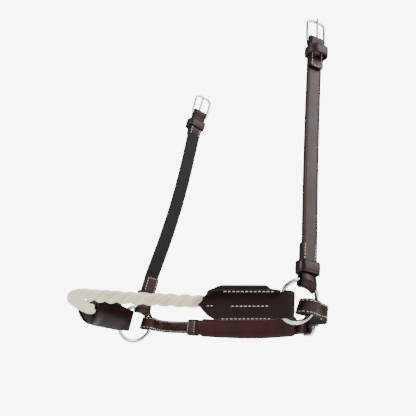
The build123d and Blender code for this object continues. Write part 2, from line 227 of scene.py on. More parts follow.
def twisted_yarn(name, dark, light, shade, across, along, fuzz):
    """Spun cotton: yarns drawn in UV space (u round the strand, v along it), with fuzz, soiling and painted shade in
    the grooves between yarns and where 'tone' is 1.
    """
    material, tree, shader = node_material(name)
    coords = tree.nodes.new("ShaderNodeTexCoord")
    stretch = add(tree, "ShaderNodeMapping")
    stretch.inputs["Scale"].default_value = (across, along, 1.0)
    tree.links.new(coords.outputs["UV"], stretch.inputs["Vector"])
    yarn = add(tree, "ShaderNodeTexWave", Scale=1.0, Distortion=0.8, Detail=2.0)
    yarn.bands_direction = "DIAGONAL"
    tree.links.new(stretch.outputs["Vector"], yarn.inputs["Vector"])
    lint = add(tree, "ShaderNodeTexNoise", Scale=1300.0, Detail=5.0, Roughness=0.7)
    soil = add(tree, "ShaderNodeTexNoise", Scale=70.0, Detail=4.0)
    tree.links.new(coords.outputs["Object"], lint.inputs["Vector"])
    tree.links.new(coords.outputs["Object"], soil.inputs["Vector"])
    base = ramp(tree, soil.outputs["Fac"], [(0.3, dark), (0.65, light)])
    # The grooves between yarns are darkened toward the shade colour: painted shade.
    groove = ramp(tree, yarn.outputs["Fac"], [(0.0, (1.0, 1.0, 1.0)), (0.55, (0.0, 0.0, 0.0))])
    yarn_with_groove_shade = mix(tree, groove, base, shade)
    tone = add(tree, "ShaderNodeAttribute", attribute_name="tone")
    # Where 'tone' is 1 the colour turns fully to the shade colour: painted shade.
    colour = mix(tree, tone.outputs["Fac"], yarn_with_groove_shade, shade)
    tree.links.new(colour, shader.inputs["Base Color"])
    gloss = ramp(tree, lint.outputs["Fac"], [(0.3, (0.75,) * 3), (0.7, (0.95,) * 3)])
    tree.links.new(gloss, shader.inputs["Roughness"])
    shader.inputs["Sheen Weight"].default_value = 0.25
    shader.inputs["Sheen Roughness"].default_value = 0.6
    shader.inputs["Specular IOR Level"].default_value = 0.25
    bump(tree, shader, (yarn.outputs["Fac"], 0.5, 0.18), (lint.outputs["Fac"], fuzz, 0.14))
    return material


STRAP_LEATHER = leather("strap_leather", (0.017, 0.0034, 0.0023), (0.034, 0.0072, 0.0050), (0.0025, 0.0021, 0.0020),
                        0.40, 0.22, coat=0.03, specular=0.20)
WRAP_LEATHER_FINISH = leather("wrap_leather", (0.006, 0.0011, 0.0009), (0.013, 0.0023, 0.0018),
                              (0.002, 0.002, 0.002), 0.36, 0.20, specular=0.14)
PAD_LEATHER = leather("pad_leather", (0.017, 0.0032, 0.0020), (0.030, 0.0062, 0.0042), (0.008, 0.0025, 0.002),
                      0.56, 0.32, specular=0.12)
BLACK_LEATHER = leather("black_leather", (0.0025, 0.0022, 0.0021), (0.005, 0.0045, 0.0043), (0.002, 0.002, 0.002),
                        0.60, 0.35, specular=0.2)
STEEL = metal("polished_steel")
# The third colour of each yarn finish is painted shade, used for grooves, strand gaps and stitch ends.
ROPE_COTTON = twisted_yarn("rope_cotton", (0.80, 0.69, 0.45), (0.90, 0.80, 0.56), (0.60, 0.50, 0.31), 5.0, 2.4, 0.55)
THREAD = twisted_yarn("waxed_thread", (0.55, 0.48, 0.36), (0.78, 0.72, 0.60), (0.40, 0.33, 0.22), 2.0, 3.0, 0.2)


# ------------------------------------------------------------------ mesh tools
def finish_piece(name, bm, material, body, replaced=()):
    """Turns bm, in millimetres, into an object that rides on body and stands for the replaced nodes."""
    bmesh.ops.remove_doubles(bm, verts=bm.verts, dist=1e-5)
    bmesh.ops.recalc_face_normals(bm, faces=bm.faces)
    bmesh.ops.scale(bm, vec=(MM, MM, MM), verts=bm.verts)
    mesh = bpy.data.meshes.new(name)
    bm.to_mesh(mesh)
    bm.free()
    mesh.materials.append(material)
    mesh.shade_smooth()
    piece = bpy.data.objects.new(name, mesh)
    bpy.context.scene.collection.objects.link(piece)
    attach(piece, body)
    if replaced:
        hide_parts(*replaced)
    return piece


def new_bmesh():
    bm = bmesh.new()
    bm.verts.layers.float.new("tone")
    bm.loops.layers.uv.new("UVMap")
    return bm


def loft(bm, rings, tones, length_uv=None):
    """Joins rings of points into a tube with closed ends. tones gives each ring point's share of the second colour:
    edge colour on leather, painted shade on the rope.
    """
    tone = bm.verts.layers.float["tone"]
    uv = bm.loops.layers.uv["UVMap"]
    grid = []
    for ring in rings:
        row = [bm.verts.new(p) for p in ring]
        for vert, value in zip(row, tones):
            vert[tone] = value
        grid.append(row)
    count = len(tones)
    for i, (a, b) in enumerate(zip(grid, grid[1:])):
        v0, v1 = (length_uv[i], length_uv[i + 1]) if length_uv else (i, i + 1)
        for k in range(count):
            n = (k + 1) % count
            face = bm.faces.new((a[k], a[n], b[n], b[k]))
            for loop, at in zip(face.loops, ((k, v0), (k + 1, v0), (k + 1, v1), (k, v1))):
                loop[uv].uv = (at[0] / count, at[1])
    bm.faces.new(grid[0][::-1])
    bm.faces.new(grid[-1])
    return grid


def step(t):
    """Rises smoothly from 0 to 1 as t does."""
    t = min(1.0, max(0.0, t))
    return t * t * (3 - 2 * t)


def smooth_path(points, steps):
    """A Catmull-Rom curve through points, with steps pieces between each pair."""
    points = [Vector(p) for p in points]
    before = points[0] * 2 - points[1]
    after = points[-1] * 2 - points[-2]
    line = [before, *points, after]
    path = []
    for i in range(1, len(line) - 2):
        p0, p1, p2, p3 = line[i - 1:i + 3]
        for k in range(steps):
            t = k / steps
            path.append(0.5 * (2 * p1 + (p2 - p0) * t + (2 * p0 - 5 * p1 + 4 * p2 - p3) * t * t
                               + (3 * p1 - p0 - 3 * p2 + p3) * t ** 3))
    path.append(points[-1])
    return path


def even(path, gap):
    """The path's points again, gap apart."""
    lengths = [0.0]
    for a, b in zip(path, path[1:]):
        lengths.append(lengths[-1] + (b - a).length)
    count = max(2, round(lengths[-1] / gap))
    out, i = [], 0
    for k in range(count + 1):
        want = lengths[-1] * k / count
        while i < len(path) - 2 and lengths[i + 1] < want:
            i += 1
        span = lengths[i + 1] - lengths[i]
        out.append(path[i].lerp(path[i + 1], (want - lengths[i]) / span if span else 0.0))
    return out


def arc(centre, radius, start, end, count):
    """Points on an arc in the plan, from angle start to end in degrees."""
    angles = [radians(start + (end - start) * k / count) for k in range(count + 1)]
    return [Vector((centre[0] + radius * cos(a), centre[1] + radius * sin(a), 0)) for a in angles]


def strap_section(half, thickness, crease=1.6, depth=0.28, camber=0.12):
    """A leather strip's section as (across, out) points, with a crease line inside each edge.

    The face side comes first. Returns the points and each one's share of edge colour."""
    r = thickness / 2
    face = []
    for k in range(13):
        v = -1 + 2 * k / 12
        face.append((v * (half - crease - 0.8), r + camber * (1 - v * v), 0.0))
    groove = [(half - crease - 0.35, r - depth * 0.6, 0.0), (half - crease, r - depth, 0.3),
              (half - crease + 0.35, r - depth * 0.5, 0.0), (half - r * 0.75, r, 0.05)]
    edge = []
    for k in range(7):
        a = radians(75 - 150 * k / 6)
        edge.append((half - r * 0.6 + r * 0.6 * cos(a), r * sin(a), 1.0 if k else 0.5))
    back = []
    for k in range(9):
        v = 1 - 2 * k / 8
        back.append((v * (half - r), -r, 1.0))
    right = groove + edge
    left = [(-x, y, t) for x, y, t in reversed(right)]
    points = left + face + right + back
    return [(x, y) for x, y, _ in points], [t for _, _, t in points]


DRESSED_FADE = 12.0


def strap(bm, plane, path, half, thickness, warp, taper, dressed=0.0):
    """Sweeps a leather strip along path, a list of plan points; plane maps (plan x, plan y, across).

    The strip's face is on the path's left. warp moves a finished point, taper scales the half width,
    and dressed is the length at the start whose back is finished like its face."""
    shape, tones = strap_section(half, thickness)
    rings, lengths, run = [], [], 0.0
    for i, point in enumerate(path):
        ahead = path[min(i + 1, len(path) - 1)] - path[max(i - 1, 0)]
        tangent = ahead.normalized()
        normal = Vector((-tangent.y, tangent.x, 0))
        if i:
            run += (point - path[i - 1]).length
        scale = taper(i / (len(path) - 1), run)
        ring = []
        for across, out in shape:
            at = point + normal * out
            local = Vector((at.x, at.y, across * scale))
            ring.append(plane(warp(local)))
        rings.append(ring)
        lengths.append(run)
    grid = loft(bm, rings, tones, length_uv=lengths)
    tone = bm.verts.layers.float["tone"]
    for row, length in zip(grid, lengths):
        for vert, (_, out) in zip(row, shape):
            if length < dressed and out < 0.01 - thickness / 2:
                vert[tone] = 1 - step((dressed - length) / DRESSED_FADE)


def stitch(bm, a, b, up, radius):
    """One stitch: a thread from a to b whose ends dip into the leather along -up and are darkened with painted
    shade.
    """
    tone = bm.verts.layers.float["tone"]
    uv = bm.loops.layers.uv["UVMap"]
    along = b - a
    side = along.cross(up).normalized()
    rows, count, sides = [], 7, 8
    for i in range(count + 1):
        t = i / count
        lift = radius * (1.5 * sin(pi * t) - 0.55)
        centre = a + along * t + up * lift
        thick = radius * (0.72 + 0.28 * sin(pi * t))
        row = []
        for k in range(sides):
            angle = 2 * pi * k / sides
            vert = bm.verts.new(centre + side * (thick * cos(angle)) + up * (thick * sin(angle)))
            # Both ends, where the thread dips into the leather, get half the yarn's shade colour: painted shade.
            vert[tone] = 0.5 if i in (0, count) else 0.0
            row.append(vert)
        rows.append(row)
    for i, (low, high) in enumerate(zip(rows, rows[1:])):
        for k in range(sides):
            n = (k + 1) % sides
            face = bm.faces.new((low[k], low[n], high[n], high[k]))
            for loop, at in zip(face.loops, ((k, i), (k + 1, i), (k + 1, i + 1), (k, i + 1))):
                loop[uv].uv = (at[0] / sides, at[1] / count)
    bm.faces.new(rows[0][::-1])
    bm.faces.new(rows[-1])


def stitch_line(bm, surface, start, end, pitch, radius, rng, share=0.68):
    """Stitches from start to end, each a pair of surface coordinates. surface gives point and normal."""
    length = sqrt((end[0] - start[0]) ** 2 + (end[1] - start[1]) ** 2)
    count = max(1, round(length / pitch))
    for k in range(count):
        t0 = (k + 0.5 - share / 2) / count + rng.uniform(-0.02, 0.02) / count
        t1 = (k + 0.5 + share / 2) / count + rng.uniform(-0.02, 0.02) / count
        sway = rng.uniform(-0.10, 0.10)
        ends = []
        for t in (t0, t1):
            u = start[0] + (end[0] - start[0]) * t
            v = start[1] + (end[1] - start[1]) * t + sway * (1 if t == t0 else -1)
            ends.append(surface(u, v))
        (a, up_a), (b, up_b) = ends
        stitch(bm, a, b, (up_a + up_b).normalized(), radius)


# ------------------------------------------------------------------ rope nosepiece
ROPE_LEFT = [(95.8, 80.1, -6.7), (81.5, 55.5, -6.6), (69.5, 28.0, -6.2), (28.0, -4.0, -2.2), (0.5, -6.5, 2.4)]
ROPE_RIGHT = [(-98.2, 79.1, 2.4), (-82.5, 52.5, 3.6), (-64.5, 28.5, 5.0), (-27.0, -4.0, 4.4), (-0.5, -6.5, 2.8)]
STRAND_R = 2.85
STRAND_OFF = 2.32
LAY = 33.0
LAY_HAND = -1


def rope_route():
    """The rope's middle line from the left wrap to the right one, read from a smooth curve."""
    points = ROPE_LEFT + ROPE_RIGHT[::-1]
    curve = bpy.data.curves.new("rope_route", "CURVE")
    curve.dimensions = "3D"
    spline = curve.splines.new("NURBS")
    spline.points.add(len(points) - 1)
    for target, point in zip(spline.points, points):
        target.co = (*point, 1.0)
    spline.order_u = 4
    spline.use_endpoint_u = True
    spline.resolution_u = 40
    holder = bpy.data.objects.new("rope_route", curve)
    mesh = bpy.data.meshes.new_from_object(holder)
    line = [v.co.copy() for v in mesh.vertices]
    bpy.data.meshes.remove(mesh)
    bpy.data.objects.remove(holder)
    bpy.data.curves.remove(curve)
    return even(line, 0.8)


def make_rope():
    """Three strands laid round each other, each fluted by its own yarns and darkened with painted shade where they
    meet.
    """
    rng = random.Random(11)
    line = rope_route()
    yarns, around = 9, 45
    side = Vector((0, 0, 1))
    bm = new_bmesh()
    frames, run = [], 0.0
    for i, point in enumerate(line):
        tangent = (line[min(i + 1, len(line) - 1)] - line[max(i - 1, 0)]).normalized()
        side = (side - tangent * side.dot(tangent)).normalized()
        if i:
            run += (point - line[i - 1]).length
        frames.append((point, tangent, side, tangent.cross(side), run))
    for strand in range(3):
        start = 2 * pi * strand / 3
        wobble = [rng.uniform(0, 2 * pi) for _ in range(3)]
        rings, lengths = [], []
        for point, tangent, up, out, run in frames:
            turn = start + LAY_HAND * 2 * pi * run / LAY
            radial = up * cos(turn) + out * sin(turn)
            swirl = out * cos(turn) - up * sin(turn)
            swell = 1 + 0.03 * sin(run / 9.0 + wobble[0]) + 0.02 * sin(run / 3.7 + wobble[1])
            centre = point + radial * (STRAND_OFF * swell)
            ring = []
            for k in range(around):
                angle = 2 * pi * k / around
                flute = 1 + 0.025 * abs(cos((yarns * (angle - LAY_HAND * 0.5 * 2 * pi * run / LAY)) / 2))
                radius = STRAND_R * swell * flute
                ring.append(centre + radial * (radius * cos(angle)) + swirl * (radius * sin(angle)))
            rings.append(ring)
            lengths.append(run / 10.0)
        # Each strand's inward side, where it presses against the other two, gets painted shade through the tone
        # attribute.
        strand_gap_shade = [max(0.0, -cos(2 * pi * k / around)) ** 2 * 0.8 for k in range(around)]
        loft(bm, rings, strand_gap_shade, length_uv=lengths)
    finish_piece("nose_rope_strands", bm, ROPE_COTTON, "noseband", ["nose_rope"])


make_rope()


# ------------------------------------------------------------------ leather wraps
RING_FRONT = {LEFT: Vector((111.0, 107.5, -6.0)), RIGHT: Vector((-111.0, 107.5, 2.2))}
SIDE_CORNER = {LEFT: Vector((62.0, 19.2, -9.0)), RIGHT: Vector((-70.0, 16.5, 3.5))}
WRAP_LEAN = radians(15.0)
WRAP_DROOP = 3.6
# Upper and lower edges above the wrap's middle line, at the front and at the rear
WRAP_HIGH = (11.9, 9.8)
WRAP_LOW = (-12.9, -11.3)
WRAP_POINT = 18.0
# The right wrap's inner leaf and lining reach further forward and stand open at the front
LEAF_REACH = {LEFT: (0.0, 0.0), RIGHT: (2.0, 3.0)}
LEAF_MOUTH = {LEFT: 0.0, RIGHT: 3.0}
LINING_SLANT = {LEFT: 11.0, RIGHT: 2.5}
LINING_MOUTH = {LEFT: 0.0, RIGHT: 2.6}
LINING_PROUD = 2.7


def leaned(forward, angle):
    """The upward direction square to forward, leaned over by angle."""
    side = (Vector((1, 0, 0)) - forward * forward.x).normalized()
    return side.cross(forward) * cos(angle) + side * sin(angle)


def wrap_frame(s):
    """A wrap's origin at its ring, and its directions to the rear, outwards and up."""
    leg = (RING_FRONT[s] - SIDE_CORNER[s]).normalized()
    up = leaned(leg, WRAP_LEAN)
    return RING_FRONT[s], leg, leg.cross(up) * s, up


def belly(height, half):
    """How far a leaf stands off the wrap's middle plane, as a share, at a height above its middle."""
    return 1 - min(1.0, abs(height) / half) ** 2.4


def leaf_offset(height):
    """Distance of a leaf's inner surface from the wrap's middle plane."""
    return ROPE_R - WRAP_DROOP + WRAP_DROOP * belly(height, WRAP_HALF) + 0.5


def wrap_edges(x, outer):
    """Heights of a leaf's lower and upper edges at x along the leg."""
    back = max(0.0, x - (WRAP_TIP if outer else WRAP_INNER_END))
    if outer:
        point = 1 - (1 - min(1.0, back / WRAP_POINT)) ** 1.9
    else:
        point = 0.72 + 0.28 * sqrt(min(1.0, back / 6.0))
    rear = step((x + 12) / 16.0)
    high = WRAP_HIGH[0] + (WRAP_HIGH[1] - WRAP_HIGH[0]) * rear
    low = WRAP_LOW[0] + (WRAP_LOW[1] - WRAP_LOW[0]) * rear
    return min(-0.8, low * point), max(0.8, high * point)


def make_wrap(side, s):
    """One strip of leather: the outer leaf, the fold round the ring and the inner leaf."""
    origin, leg, out, up = wrap_frame(s)
    fold_r = ROPE_R + 0.5
    fold_x = WRAP_REAR - WRAP_LEATHER - fold_r
    mid = WRAP_LEATHER / 2
    path = []
    outer_x = [WRAP_TIP + 0.3 * k for k in range(20)] + [WRAP_TIP + 6 + 1.0 * k for k in range(62)]
    for x in [x for x in outer_x if x < fold_x]:
        path.append((x, fold_r + mid, 1, True))
    for k in range(25):
        a = pi / 2 - pi * k / 24
        path.append((fold_x + (fold_r + mid) * cos(a), (fold_r + mid) * sin(a), 0, True))
    inner_x = [WRAP_INNER_END + 0.4 * k for k in range(10)] + [WRAP_INNER_END + 4 + 1.5 * k for k in range(40)]
    for x in reversed([x for x in inner_x if x < fold_x]):
        path.append((x, -fold_r - mid, -1, False))
    bm = new_bmesh()
    rings, lengths, run = [], [], 0.0
    count = 33
    for i, (x, y, leaf, outer) in enumerate(path):
        if i:
            run += sqrt((x - path[i - 1][0]) ** 2 + (y - path[i - 1][1]) ** 2)
        nxt, prv = path[min(i + 1, len(path) - 1)], path[max(i - 1, 0)]
        tx, ty = nxt[0] - prv[0], nxt[1] - prv[1]
        size = sqrt(tx * tx + ty * ty)
        normal = (-ty / size, tx / size)
        low, high = wrap_edges(min(x, fold_x), outer)
        flat = step((fold_x - x) / 14.0) if leaf else 0.0
        reach, reach_low = (0.0, 0.0) if outer else LEAF_REACH[s]
        ahead = step((-34 - x) / 22.0)
        mouth = 0.0 if outer else LEAF_MOUTH[s] * step((-42 - x) / 14.0)
        ring = []
        for face in (1, -1):
            for k in range(count):
                v = (-1 + 2 * k / (count - 1)) * face
                height = (high + low) / 2 + (high - low) / 2 * v
                edge = (1 - abs(v)) * (high - low) / 2
                soft = min(1.0, edge / 0.9)
                thick = mid * (sqrt(soft * (2 - soft)) if soft < 1 else 1.0)
                crease = 0.22 * max(0.0, 1 - abs(edge - 1.6) / 0.4) if face > 0 else 0.0
                off = (thick - crease) * face
                drop = WRAP_DROOP * (1 - belly(height, WRAP_HALF)) * flat
                px = x + normal[0] * off - (reach + reach_low * (1 - v) / 2) * ahead
                py = y + normal[1] * off - drop * leaf - mouth
                ring.append(origin + leg * px + out * py + up * height)
        rings.append(ring)
        lengths.append(run)
    tones = []
    for face in (1, -1):
        for k in range(count):
            v = abs(-1 + 2 * k / (count - 1))
            tones.append((1.0 if v > 0.97 else 0.0) if face > 0 else 1.0)
    loft(bm, rings, tones, length_uv=lengths)
    finish_piece(f"{side}_wrap_leaf", bm, WRAP_LEATHER_FINISH, "noseband", [f"{side}_wrap"])


def make_lining(side, s):
    """The black leather packed round the rope's end, which stands above the outer leaf."""
    origin, leg, out, up = wrap_frame(s)
    bm = new_bmesh()
    rings = []
    stations = [WRAP_TIP + 3.0 + 0.4 * k for k in range(40)] + [WRAP_TIP + 19.0 + 1.2 * k for k in range(35)]
    for x in [x for x in stations if x < -2.5] + [-2.5]:
        low, high = wrap_edges(x, True)
        shut = step((-2.5 - x) / 9.0)
        high += LINING_PROUD
        high = 8.0 + (high - 8.0) * shut if high > 8.0 else high
        low = max(low + 0.4, -8.0 - (WRAP_HALF - 8.0) * shut)
        ring = []
        for k in range(48):
            a = 2 * pi * k / 48
            height = (high + low) / 2 + (high - low) / 2 * sin(a)
            width = leaf_offset(min(height, WRAP_HALF - 1.5)) - 0.2
            reach = abs(cos(a)) ** 0.35 * (1 if cos(a) > 0 else -1)
            slant = LINING_SLANT[s] * step((-40 - x) / 22.0) * (1 - reach) / 2
            mouth = LINING_MOUTH[s] * step((-42 - x) / 14.0) if reach < 0 else 0.0
            ring.append(origin + leg * (x + slant) + out * ((width + mouth) * reach) + up * height)
        rings.append(ring)
    loft(bm, rings, [0.0] * 48)
    finish_piece(f"{side}_wrap_core", bm, BLACK_LEATHER, "noseband", [f"{side}_wrap_lining"])


def make_wrap_thread(side, s):
    """Four rows of stitches on the outer leaf: above, below, along the middle and at the tip."""
    origin, leg, out, up = wrap_frame(s)
    rng = random.Random(21 + s)
    face = ROPE_R + 0.5 + WRAP_LEATHER

    def surface(x, height):
        drop = WRAP_DROOP * (1 - belly(height, WRAP_HALF))
        slope = (WRAP_DROOP * (belly(height - 0.1, WRAP_HALF) - belly(height + 0.1, WRAP_HALF))) / 0.2
        point = origin + leg * x + out * (face - drop) + up * height
        return point, (out + up * slope).normalized()

    bm = new_bmesh()
    for x0, x1, height in ((-48, -6, 10.1), (-49, -8, -11.2), (-42, -11, -1.0), (-61.5, -55.5, -0.6)):
        stitch_line(bm, surface, (x0, height), (x1, height), 3.4, 0.36, rng, 0.62)
    finish_piece(f"{side}_wrap_thread", bm, THREAD, "noseband", [f"{side}_wrap_stitching"])


for side, s in SIDES:
    make_wrap(side, s)
    make_lining(side, s)
    make_wrap_thread(side, s)


# ------------------------------------------------------------------ cheek straps
def ring_frame(side):
    """A ring's centre and axis, and its own directions to the rear and up."""
    centre = joint_point(f"{side}_ring_turn")
    axis = joint_axis(f"{side}_ring_turn")
    back = Vector((0, 0, 1)).cross(axis).normalized()
    back = back if back.y > 0 else -back
    up = axis.cross(back).normalized()
    up = up if up.z > 0 else -up
    return centre, axis, back, up


def cheek_frame(side, s):
    """The strap's own directions and the middle of the ring's wire under it."""
    up = joint_axis(f"{side}_keeper_slide")
    rear = joint_axis(f"{side}_buckle_turn")
    out = rear.cross(up).normalized() * s
    bar = joint_point(f"{side}_buckle_turn")
    wire_at = bar - up * STRAP_L - out * STRAP_T
    return wire_at, out, up, rear


def wire_shift(side, s):
    """How far the ring's wire lies from its middle point, in (out, up), at a place across the strap."""
    centre, axis, back, ring_up = ring_frame(side)
    wire_at, out, up, rear = cheek_frame(side, s)
    near = [centre + (ring_up * cos(a) + back * sin(a)) * RING_R for a in
            [radians(18 + d * 1.5) for d in range(-26, 27)]]
    table = sorted(((p - wire_at).dot(rear), (p - wire_at).dot(out), (p - wire_at).dot(up)) for p in near)

    def shift(across):
        for (a0, o0, u0), (a1, o1, u1) in zip(table, table[1:]):
            if a0 <= across <= a1:
                t = (across - a0) / (a1 - a0)
                return o0 + (o1 - o0) * t, u0 + (u1 - u0) * t
        return (0.0, 0.0)
    return shift


TURN_UP = 33.0
TURN_DOWN = 29.0
LOOP_R = 2.9
CHEEK_BOW = {LEFT: -1.2, RIGHT: 4.2}


def cheek_path():
    """The strap's middle line as (out, up): inner turn, round the wire, up, round the bar, outer turn."""
    half = STRAP_T / 2
    loop = LOOP_R + half
    around = arc((0, -0.7), loop, 155, 385, 30)
    bar = (STRAP_T, STRAP_L)
    top = arc(bar, BAR_R + 0.35 + half, 185, -10, 22)
    start = even([Vector((-half, TURN_UP, 0)), Vector((-half, 12, 0))], 1.6)
    neck_in = [Vector((-half - 0.15, 9.5, 0)), Vector((-half - 0.4, 6.2, 0)), Vector((-loop * 0.8, 3.0, 0))]
    neck_out = [Vector((loop * 0.8, 3.0, 0)), Vector((half + 0.4, 6.2, 0)), Vector((half + 0.15, 9.5, 0))]
    rise = even([Vector((half, 12, 0)), Vector((half, STRAP_L - 12, 0))], 2.5)
    lift = [Vector((half - 0.05, STRAP_L - 8.5, 0)), Vector((half - 0.6, STRAP_L - 4.5, 0))]
    drop = [Vector((3 * half + 0.7, STRAP_L - 4.5, 0)), Vector((3 * half + 0.1, STRAP_L - 8.5, 0))]
    tail = even([Vector((3 * half, STRAP_L - 11, 0)), Vector((3 * half, STRAP_L - TURN_DOWN, 0))], 1.6)
    return smooth_path(start + neck_in + around + neck_out + rise + lift + top + drop + tail, 2)


def cheek_warp(side, s):
    """Follows the ring's wire round the strap's foot, and bows the long span a little."""
    shift = wire_shift(side, s)

    def warp(p):
        hold = step((11.0 - p.y) / 9.0)
        do, du = shift(max(-8.0, min(8.0, p.z)))
        bow = sin(pi * min(1.0, max(0.0, (p.y - 35) / (STRAP_L - 65))))
        return Vector((p.x + do * hold + bow * 0.8, p.y + du * hold, p.z + bow * CHEEK_BOW[s]))
    return warp


def make_cheek(side, s):
    """A cheek strap with its two turned ends, and the stitches that hold them."""
    wire_at, out, up, rear = cheek_frame(side, s)
    warp = cheek_warp(side, s)

    def plane(p):
        return wire_at + out * p.x + up * p.y + rear * p.z

    def taper(t, run):
        end = min(1.0, 0.72 + 0.28 * sqrt(min(1.0, run / 2.5)))
        return end * min(1.0, 0.80 + 0.20 * sqrt(min(1.0, (1 - t) * 120)))

    bm = new_bmesh()
    strap(bm, plane, cheek_path()[::-1], STRAP_W / 2, STRAP_T, warp=warp, taper=taper, dressed=2 * TURN_DOWN + 10)
    finish_piece(f"{side}_cheek_leather", bm, STRAP_LEATHER, f"{side}_cheek", [f"{side}_cheek_strap"])
    rng = random.Random(31 + s)
    bm = new_bmesh()

    def on_face(level, sign):
        def surface(u, v):
            p = warp(Vector((level, u, v)))
            return plane(p), out * sign
        return surface

    outer, double, inner = on_face(STRAP_T, 1), on_face(2 * STRAP_T, 1), on_face(-STRAP_T, -1)
    low_start, low_end = 17, TURN_UP - 1.5
    high_start, high_end = STRAP_L - TURN_DOWN + 1.5, STRAP_L - 8.5
    for v in (-5.1, 5.1):
        stitch_line(bm, outer, (low_start, v), (low_end, v), 3.0, 0.36, rng)
        stitch_line(bm, inner, (low_start, v), (low_end, v), 3.0, 0.36, rng)
        stitch_line(bm, double, (high_start, v), (high_end, v), 3.0, 0.34, rng)
        stitch_line(bm, on_face(0, -1), (high_start, v), (high_end, v), 3.0, 0.34, rng)
    stitch_line(bm, inner, (low_end, -4.0), (low_end, 4.0), 2.8, 0.34, rng)
    stitch_line(bm, double, (high_start, -3.4), (high_start, 3.4), 2.8, 0.34, rng)
    finish_piece(f"{side}_cheek_thread", bm, THREAD, f"{side}_cheek", [f"{side}_cheek_stitching"])


def keeper_ring(x0, x1, half, round_out, round_in):
    """A keeper's middle line in (out, across): a rounded rectangle, fuller at its outer side."""
    corners = [((x1 - round_out, half - round_out), round_out, 90, 0),
               ((x1 - round_out, -half + round_out), round_out, 0, -90),
               ((x0 + round_in, -half + round_in), round_in, -90, -180),
               ((x0 + round_in, half - round_in), round_in, -180, -270)]
    path = []
    for centre, radius, a0, a1 in corners:
        path += arc(centre, radius, a0, a1, 8)
    path.append(path[0].copy())
    return even(path, 1.1)


def make_keeper(name, plane, x0, x1, half, height, thickness, body, replaced, round_out, round_in):
    """A band of leather closed on itself. plane maps (out, across, height)."""
    path = keeper_ring(x0, x1, half, round_out, round_in)[:-1]
    shape, tones = strap_section(height / 2, thickness, crease=1.3, depth=0.22, camber=0.10)
    bm = new_bmesh()
    tone = bm.verts.layers.float["tone"]
    uv = bm.loops.layers.uv["UVMap"]
    grid = []
    n = len(path)
    for i, point in enumerate(path):
        tangent = (path[(i + 1) % n] - path[i - 1]).normalized()
        normal = Vector((-tangent.y, tangent.x, 0))
        if normal.dot(point - Vector(((x0 + x1) / 2, 0, 0))) < 0:
            normal = -normal
        row = []
        for across, off in shape:
            at = point + normal * off
            row.append(bm.verts.new(plane(Vector((at.x, at.y, height / 2 + across)))))
        for vert, value in zip(row, tones):
            vert[tone] = value
        grid.append(row)
    count = len(shape)
    for i in range(n):
        a, b = grid[i], grid[(i + 1) % n]
        for k in range(count):
            m = (k + 1) % count
            face = bm.faces.new((a[k], a[m], b[m], b[k]))
            for loop, at in zip(face.loops, ((k, i), (k + 1, i), (k + 1, i + 1), (k, i + 1))):
                loop[uv].uv = (at[0] / count, at[1])
    finish_piece(name, bm, STRAP_LEATHER, body, replaced)


def make_keepers(side, s):
    wire_at, out, up, rear = cheek_frame(side, s)

    def low(p):
        return wire_at + up * (5.4 + p.z) + out * p.x + rear * p.y

    def high(p):
        return wire_at + up * (STRAP_L - 17.7 + p.z) + out * p.x + rear * p.y

    make_keeper(f"{side}_lower_band", low, -STRAP_T - 2.55, STRAP_T + 2.55, STRAP_W / 2 + 1.35, 10.6, 1.9,
                f"{side}_lower_keeper", [f"{side}_lower_keeper"], 3.0, 3.0)
    make_keeper(f"{side}_upper_band", high, -0.95, 2 * STRAP_T + 6.8, STRAP_W / 2 + 1.1, 9.4, 1.9,
                f"{side}_cheek", [f"{side}_upper_keeper"], 5.2, 1.6)


for side, s in SIDES:
    make_cheek(side, s)
    make_keepers(side, s)


# ------------------------------------------------------------------ chin strap
LINE_MID = joint_point("chin_swing")
LINE = joint_axis("chin_swing")
CHIN_DROOP = radians(5.0)
CHIN_ROLL = radians(3.0)
CHIN_Z = -6.2
LOOP_RISE = {LEFT: 5.0, RIGHT: 0.0}
LOOP_FRONT = {LEFT: 1.0, RIGHT: 6.5}
LOOP_LIFT = 1.75
FOLD_TIP = 0.34
RIGHT_END_RISE = 2.8
BUCKLE_X = 76.5
CHIN_KEEPER_X = -80.5


def chin_frame():
    """The strap's own plane: its origin, the direction to the left, to the rear and up."""
    rear = Vector((0, cos(CHIN_DROOP), -sin(CHIN_DROOP)))
    up = (LINE.cross(rear).normalized() + LINE * sin(CHIN_ROLL)).normalized()
    across = (LINE - up * LINE.dot(up)).normalized()
    origin = LINE_MID + Vector((0, 0, CHIN_Z))
    wires = {}
    for side, s in SIDES:
        centre, axis, back, ring_up = ring_frame(side)
        drop = CHIN_Z + LOOP_RISE[s] - s * abs(centre.x - LINE_MID.x) * sin(CHIN_ROLL)
        angle = asin(drop / (RING_R * cos(radians(20))))
        wire = centre + (back * cos(angle) + ring_up * sin(angle)) * RING_R
        wires[s] = ((wire - origin).dot(across), (wire - origin).dot(up.cross(across)))
    middle = (wires[LEFT][0] + wires[RIGHT][0]) / 2
    half = (wires[LEFT][0] - wires[RIGHT][0]) / 2
    return origin + across * middle, across, up.cross(across), up, half, wires


CHIN_ORIGIN, CHIN_ACROSS, CHIN_REAR, CHIN_UP, HALF_CHIN, WIRES = chin_frame()
BOW_R = (HALF_CHIN - CHIN_CORNER * (1 - sin(CHIN_BOW))) / sin(CHIN_BOW)
BOW_Y = CHIN_NECK + CHIN_CORNER * cos(CHIN_BOW) - BOW_R * cos(CHIN_BOW)


def chin_plane(p):
    """A point of the chin strap's plane, which its right end rises from a little."""
    rise = RIGHT_END_RISE * step((-p.x - 5) / 85.0)
    return CHIN_ORIGIN + CHIN_ACROSS * p.x + CHIN_REAR * p.y + CHIN_UP * (p.z + rise)


def on_bow(x, off=0.0):
    """A point off behind the strap's middle line at x, in the strap's plane."""
    angle = asin(x / BOW_R)
    return Vector(((BOW_R + off) * sin(angle), BOW_Y + (BOW_R + off) * cos(angle), 0))


